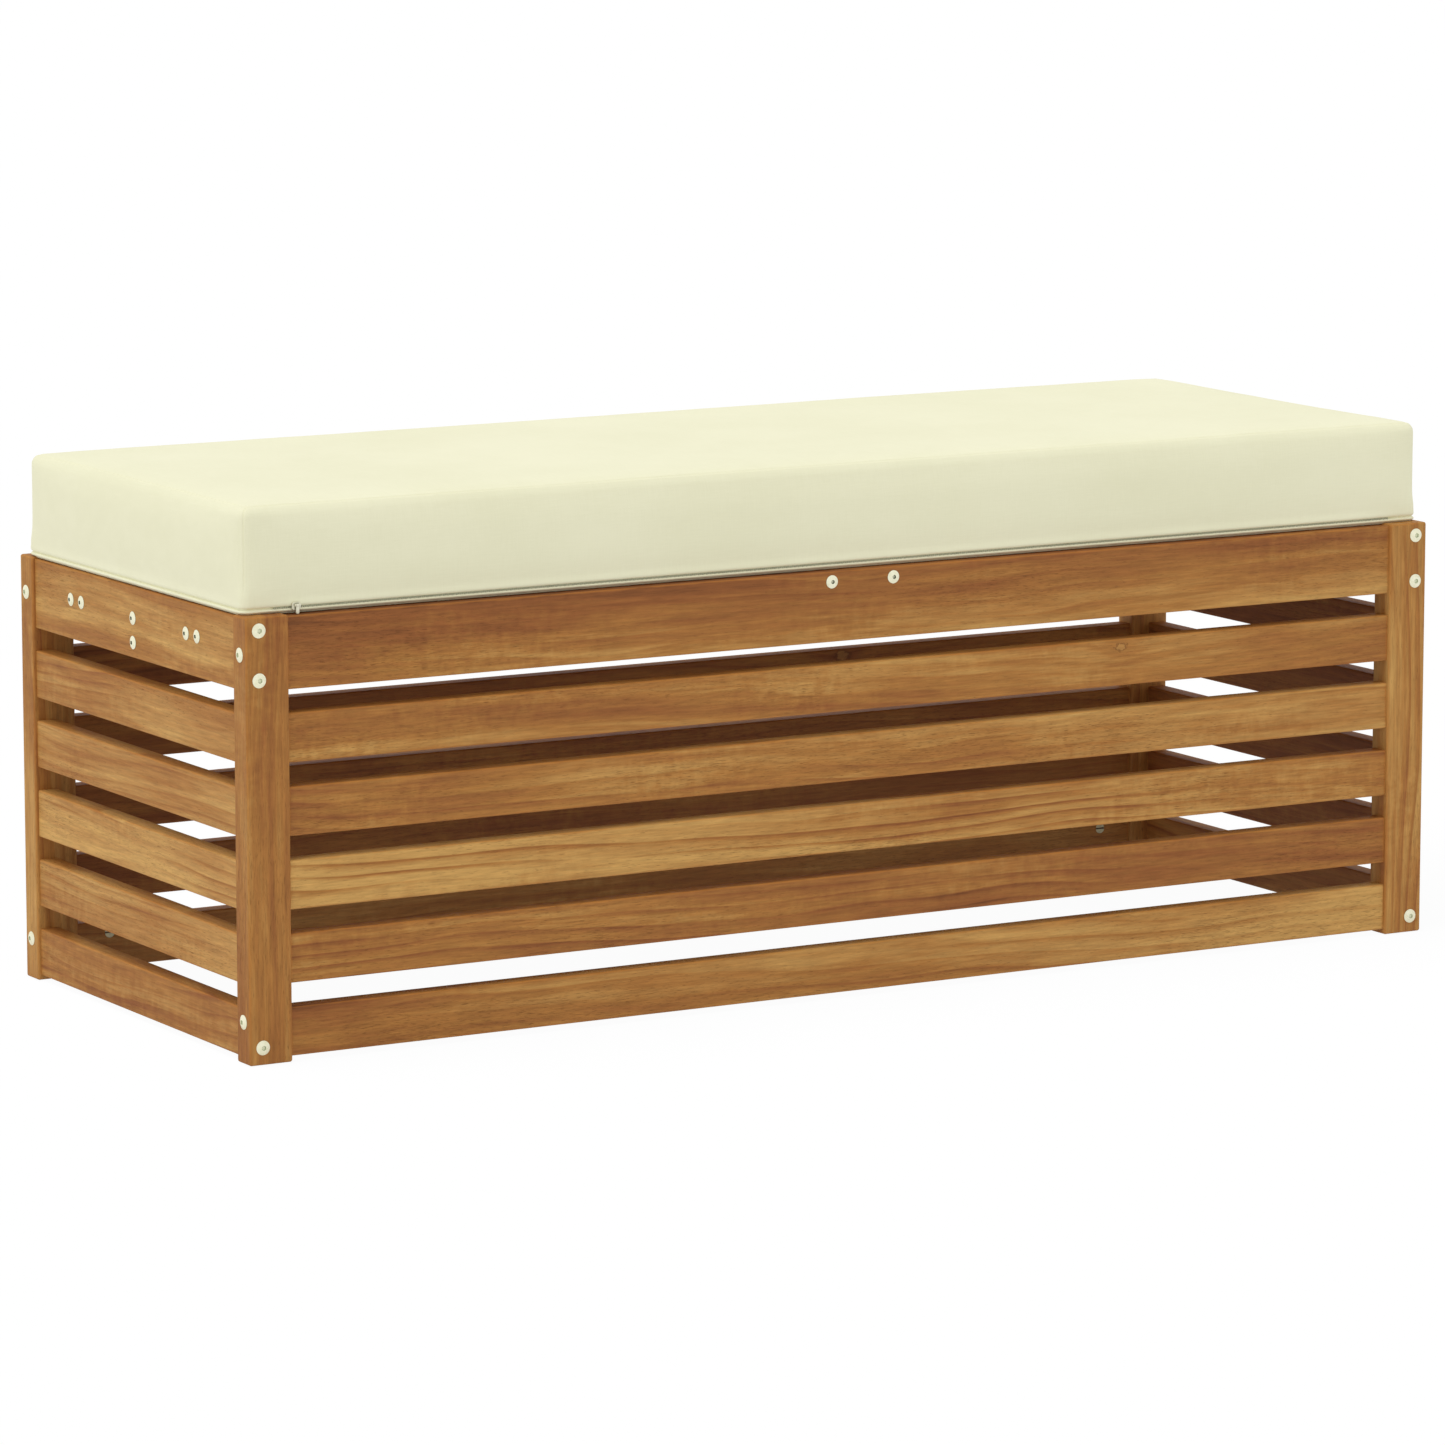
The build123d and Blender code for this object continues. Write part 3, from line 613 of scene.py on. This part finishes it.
def cushion_mesh(rows, drawn_in):
    """A closed quad form: its mesh, each vertex's (row, u, v), and the last u and v."""
    centre = (COVER_LOW + COVER_HIGH) / 2
    half_x = (COVER_HIGH.x - COVER_LOW.x) / 2
    half_y = (COVER_HIGH.y - COVER_LOW.y) / 2
    us = spaced(half_x, CORNER_R, GRID_STEP)
    vs = spaced(half_y, CORNER_R, GRID_STEP)
    last_u, last_v = len(us) - 1, len(vs) - 1
    ring = [(i, 0) for i in range(last_u)] + [(last_u, j) for j in range(last_v)]
    ring += [(i, last_v) for i in range(last_u, 0, -1)] + [(0, j) for j in range(last_v, 0, -1)]

    def place(i, j, row):
        height, inset, kind = row
        shrink = inset + (drawn_in if kind != "low" else 0.0)
        x = us[i] * (half_x - shrink) / half_x
        y = vs[j] * (half_y - shrink) / half_y
        x, y = rounded_corner(x, y, half_x - shrink, half_y - shrink, max(CORNER_R - inset, 0.4 * MM))
        return Vector((centre.x + x, centre.y + y, COVER_LOW.z + height))

    form = bmesh.new()
    tags = []

    def add(i, j, row_index):
        tags.append((row_index, i, j))
        return form.verts.new(place(i, j, rows[row_index]))

    loops = [[add(i, j, index) for i, j in ring] for index in range(len(rows))]
    for lower, upper in zip(loops, loops[1:]):
        for k in range(len(ring)):
            after = (k + 1) % len(ring)
            form.faces.new((lower[k], lower[after], upper[after], upper[k]))
    for row_index, flip in ((0, True), (len(rows) - 1, False)):
        spots = dict(zip(ring, loops[row_index]))
        for i in range(1, last_u):
            for j in range(1, last_v):
                spots[i, j] = add(i, j, row_index)
        for i in range(last_u):
            for j in range(last_v):
                quad = [spots[i, j], spots[i + 1, j], spots[i + 1, j + 1], spots[i, j + 1]]
                form.faces.new(quad[::-1] if flip else quad)
    mesh = bpy.data.meshes.new("cushion_cover_cloth")
    form.to_mesh(mesh)
    form.free()
    return mesh, tags, (last_u, last_v)


def inflate(cover, held):
    """Blows the cover up a little with the cloth solver, and keeps the swelling small."""
    rest = [vertex.co.copy() for vertex in cover.data.vertices]
    group = cover.vertex_groups.new(name="held")
    for index, weight in held.items():
        group.add([index], weight, "REPLACE")
    cloth = cover.modifiers.new("cloth", "CLOTH")
    settings = cloth.settings
    settings.quality = 6
    settings.mass = 0.3
    settings.tension_stiffness = 25
    settings.compression_stiffness = 25
    settings.shear_stiffness = 8
    settings.bending_stiffness = 3
    settings.use_pressure = True
    settings.uniform_pressure_force = SIM_PRESSURE
    settings.effector_weights.gravity = 0
    settings.vertex_group_mass = "held"
    settings.pin_stiffness = 1.0
    cloth.collision_settings.use_collision = False
    cloth.point_cache.frame_start = 1
    cloth.point_cache.frame_end = SIM_FRAMES
    scene = bpy.context.scene
    for number in range(1, SIM_FRAMES + 1):
        scene.frame_set(number)
    blown = cover.evaluated_get(bpy.context.evaluated_depsgraph_get())
    moved = [vertex.co.copy() for vertex in blown.data.vertices]
    cover.modifiers.remove(cloth)
    cover.vertex_groups.clear()
    for vertex, start, end in zip(cover.data.vertices, rest, moved):
        push = end - start
        length = push.length
        if length > 1e-9:
            push *= SWELL_CAP * math.tanh(length / SWELL_CAP) / length
        vertex.co = start + push
    scene.frame_set(1)


def pucker_at(point):
    """How far the seam draws the cloth up or down at a point, from -1 to 1."""
    return noise.noise(Vector((point.x * PUCKER_SCALE, point.y * PUCKER_SCALE, 2.5)))


def rim_gap(point):
    """A rough distance of a point on the top from the rim, least near a corner."""
    return min(
        COVER_HIGH.z - point.z + 0.004,
        abs(abs(point.x) - COVER_HIGH.x) + abs(abs(point.y) - COVER_HIGH.y),
    )


def detail_cover(mesh, rows, tags, last):
    """Seam valleys, the zip's groove, and the slight unevenness of sewn cloth on foam."""
    mesh.update()
    normals = [vertex.normal.copy() for vertex in mesh.vertices]
    last_u, last_v = last
    zip_low, zip_high = TAPE_LOW.x, TAPE_HIGH.x
    for vertex, normal, (row_index, i, j) in zip(mesh.vertices, normals, tags):
        height, _, kind = rows[row_index]
        point = vertex.co.copy()
        on_side = i in (0, last_u) or j in (0, last_v)
        at_corner = i in (0, last_u) and j in (0, last_v)
        wave = noise.noise(point * 3.1 + Vector((4.0, 1.0, 7.0)))
        if kind != "low":
            vertex.co += normal * wave * CLOTH_WAVE * MM
        if kind == "seam" and on_side:
            vertex.co -= normal * TOP_SEAM
        if at_corner and kind in ("side", "top", "seam"):
            vertex.co -= normal * CORNER_SEAM
        if kind in ("top", "side") and on_side:
            closeness = math.exp(-((COVER_HIGH.z - point.z) / PUCKER_FADE) ** 2)
            vertex.co += normal * pucker_at(point) * PUCKER * closeness
        if kind == "top" and not on_side and rim_gap(point) < RIM_BAND:
            vertex.co += normal * pucker_at(point) * PUCKER * 0.5
        if kind == "low" and j == 0 and height > LIP_START:
            inside = min(point.x - zip_low, zip_high - point.x) / LIP_FADE
            swell = math.exp(-((height / MM - LIP_HEIGHT) / LIP_SPREAD) ** 2)
            vertex.co.y -= LIP_RISE * MM * swell * min(max(inside, 0.0), 1.0)
        in_zip = j == 0 and zip_low <= point.x <= zip_high
        if kind == "low" and in_zip and GROOVE_BOTTOM < height < GROOVE_TOP:
            vertex.co.y += GROOVE_DEPTH


def smooth_shade(mesh):
    mesh.polygons.foreach_set("use_smooth", [True] * len(mesh.polygons))
    mesh.update()


def add_piece(name, mesh, material, body):
    piece = bpy.data.objects.new(name, mesh)
    bpy.context.scene.collection.objects.link(piece)
    mesh.materials.append(material)
    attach(piece, body)
    return piece


def apply_modifiers(piece):
    """Leaves the piece with its final mesh and no modifiers."""
    shape = piece.evaluated_get(bpy.context.evaluated_depsgraph_get())
    final = bpy.data.meshes.new_from_object(shape)
    final.name = piece.name
    piece.modifiers.clear()
    piece.data = final


def add_cover(fabric):
    """The sewn cover. Its seams and its underside hold still while the rest swells."""
    rows = side_rows()
    mesh, tags, last = cushion_mesh(rows, DRAWN_IN)
    cover = bpy.data.objects.new("fabric_cover", mesh)
    bpy.context.scene.collection.objects.link(cover)
    held = {}
    for index, (row_index, i, j) in enumerate(tags):
        kind = rows[row_index][2]
        at_corner = i in (0, last[0]) and j in (0, last[1])
        if kind == "low":
            held[index] = 1.0
        elif at_corner or kind == "seam" and (i in (0, last[0]) or j in (0, last[1])):
            held[index] = HELD_SEAM
    inflate(cover, held)
    detail_cover(cover.data, rows, tags, last)
    cover.modifiers.new("smooth", "SUBSURF").levels = 1
    bpy.context.view_layer.update()
    apply_modifiers(cover)
    smooth_shade(cover.data)
    cover.data.materials.append(fabric)
    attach(cover, "cushion")
    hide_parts("cushion_cover")


def add_foam(material):
    """The foam block, hidden inside the closed cover and clear of it."""
    low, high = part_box("cushion_foam")
    margin = Vector((6 * MM, 6 * MM, 5 * MM))
    low, high = low + margin, high - margin
    form = bmesh.new()
    bmesh.ops.create_cube(form, size=1.0)
    size, centre = high - low, (low + high) / 2
    for vertex in form.verts:
        vertex.co = Vector(a * b for a, b in zip(vertex.co, size)) + centre
    bmesh.ops.bevel(form, geom=form.edges[:], offset=4 * MM, segments=4, profile=0.5, affect="EDGES")
    mesh = bpy.data.meshes.new("foam_block")
    form.to_mesh(mesh)
    form.free()
    smooth_shade(mesh)
    foam = add_piece("foam_block", mesh, material, "cushion")
    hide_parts("cushion_foam")


# Corners are numbered with x as the slowest and z as the fastest to change.
BOX_FACES = ((0, 1, 3, 2), (4, 6, 7, 5), (0, 4, 5, 1), (2, 3, 7, 6), (0, 2, 6, 4), (1, 5, 7, 3))
TAPE_THICKNESS = 0.3 * MM
TAPE_SINK = 0.1 * MM
TAPE_SKIRT = 1 * MM
TAPE_BEVEL = 0.1 * MM
TOOTH_PITCH = 2.0 * MM
TOOTH_WIDTH = 1.3 * MM
TOOTH_HALF_HEIGHT = 0.75 * MM
TOOTH_FRONT = 1.0 * MM
TOOTH_STAGGER = 0.28 * MM
TOOTH_BEVEL = 0.22 * MM
CHAIN_DROP = 1.4 * MM


def add_box(form, low, high):
    corners = [
        Vector((x, y, z))
        for x in (low[0], high[0])
        for y in (low[1], high[1])
        for z in (low[2], high[2])
    ]
    made = [form.verts.new(corner) for corner in corners]
    for face in BOX_FACES:
        form.faces.new([made[index] for index in face])


def add_zip(tape_fabric, tooth_material):
    """Tape in the groove, and a chain of small interlocking teeth along it."""
    centre_z = (TAPE_LOW.z + TAPE_HIGH.z) / 2 - CHAIN_DROP
    face_y = TAPE_HIGH.y - TAPE_SINK
    tape_face_y = face_y - TAPE_THICKNESS
    form = bmesh.new()
    low = (TAPE_LOW.x, tape_face_y, TAPE_LOW.z - TAPE_SKIRT)
    add_box(form, low, (TAPE_HIGH.x, face_y, TAPE_HIGH.z))
    bmesh.ops.bevel(form, geom=form.edges[:], offset=TAPE_BEVEL, segments=1, profile=0.5, affect="EDGES")
    mesh = bpy.data.meshes.new("zip_tape_strip")
    form.to_mesh(mesh)
    form.free()
    tape = add_piece("zip_tape_strip", mesh, tape_fabric, "cushion")
    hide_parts("zip_tape")
    form = bmesh.new()
    for number in range(int((TAPE_HIGH.x - TAPE_LOW.x) / TOOTH_PITCH)):
        x = TAPE_LOW.x + number * TOOTH_PITCH
        lift = TOOTH_STAGGER if number % 2 else -TOOTH_STAGGER
        low = (x, face_y - TOOTH_FRONT, centre_z + lift - TOOTH_HALF_HEIGHT)
        high = (x + TOOTH_WIDTH, tape_face_y, centre_z + lift + TOOTH_HALF_HEIGHT)
        add_box(form, low, high)
    bmesh.ops.bevel(form, geom=form.edges[:], offset=TOOTH_BEVEL, segments=2, profile=0.5, affect="EDGES")
    mesh = bpy.data.meshes.new("zip_teeth")
    form.to_mesh(mesh)
    form.free()
    add_piece("zip_teeth", mesh, tooth_material, "cushion")


# ---- stage ---------------------------------------------------------------------------
def add_plane(name, height, material):
    half = FLOOR_SIZE / 2
    mesh = bpy.data.meshes.new(name)
    corners = [(-half, -half, 0), (half, -half, 0), (half, half, 0), (-half, half, 0)]
    mesh.from_pydata(corners, [], [(0, 1, 2, 3)])
    mesh.materials.append(material)
    plane = bpy.data.objects.new(name, mesh)
    plane.location.z = height
    bpy.context.scene.collection.objects.link(plane)
    return plane


def add_floor():
    """A pale studio floor. The shown plane mostly glows evenly, so only a soft contact
    shadow marks it. The plane just above it is unseen and gives the floor's bounced light,
    which is dim under the bench.
    """
    material = bpy.data.materials.new("floor_white")
    material.use_nodes = True
    tree = material.node_tree
    tree.nodes.clear()
    glow = add_node(tree, "ShaderNodeEmission", {"Color": WHITE, "Strength": 1.02})
    paint = add_node(tree, "ShaderNodeBsdfDiffuse", {"Color": (0.93, 0.93, 0.93, 1.0)})
    blend = add_node(tree, "ShaderNodeMixShader", {0: FLOOR_GLOW, 1: paint.outputs[0], 2: glow.outputs[0]})
    output = add_node(tree, "ShaderNodeOutputMaterial")
    tree.links.new(blend.outputs[0], output.inputs["Surface"])
    shown = add_plane("floor", -FLOOR_DEPTH, material)
    shown.visible_diffuse = False
    bounce_material, _, shader = new_material("floor_bounce")
    shader.inputs["Base Color"].default_value = (*[FLOOR_BOUNCE] * 3, 1.0)
    shader.inputs["Roughness"].default_value = 1.0
    shader.inputs["Specular IOR Level"].default_value = 0.0
    shader.inputs["Emission Color"].default_value = WHITE
    shader.inputs["Emission Strength"].default_value = FLOOR_LIFT
    bounce = add_plane("floor_bounce", -BOUNCE_DEPTH, bounce_material)
    bounce.visible_camera = False
    bounce.visible_shadow = False


add_camera()
add_lights()
add_floor()
dress_frame()
cover_cloth = make_fabric("cream_polyester", CREAM, CREAM_SHADE)
zip_cloth = make_fabric("zip_tape_weave", TAPE_LIGHT, TAPE_DARK)
zip_nylon = make_metal("zip_teeth_nylon", *NYLON, 0.0, 0.4)
add_cover(cover_cloth)
add_foam(make_foam())
add_zip(zip_cloth, zip_nylon)
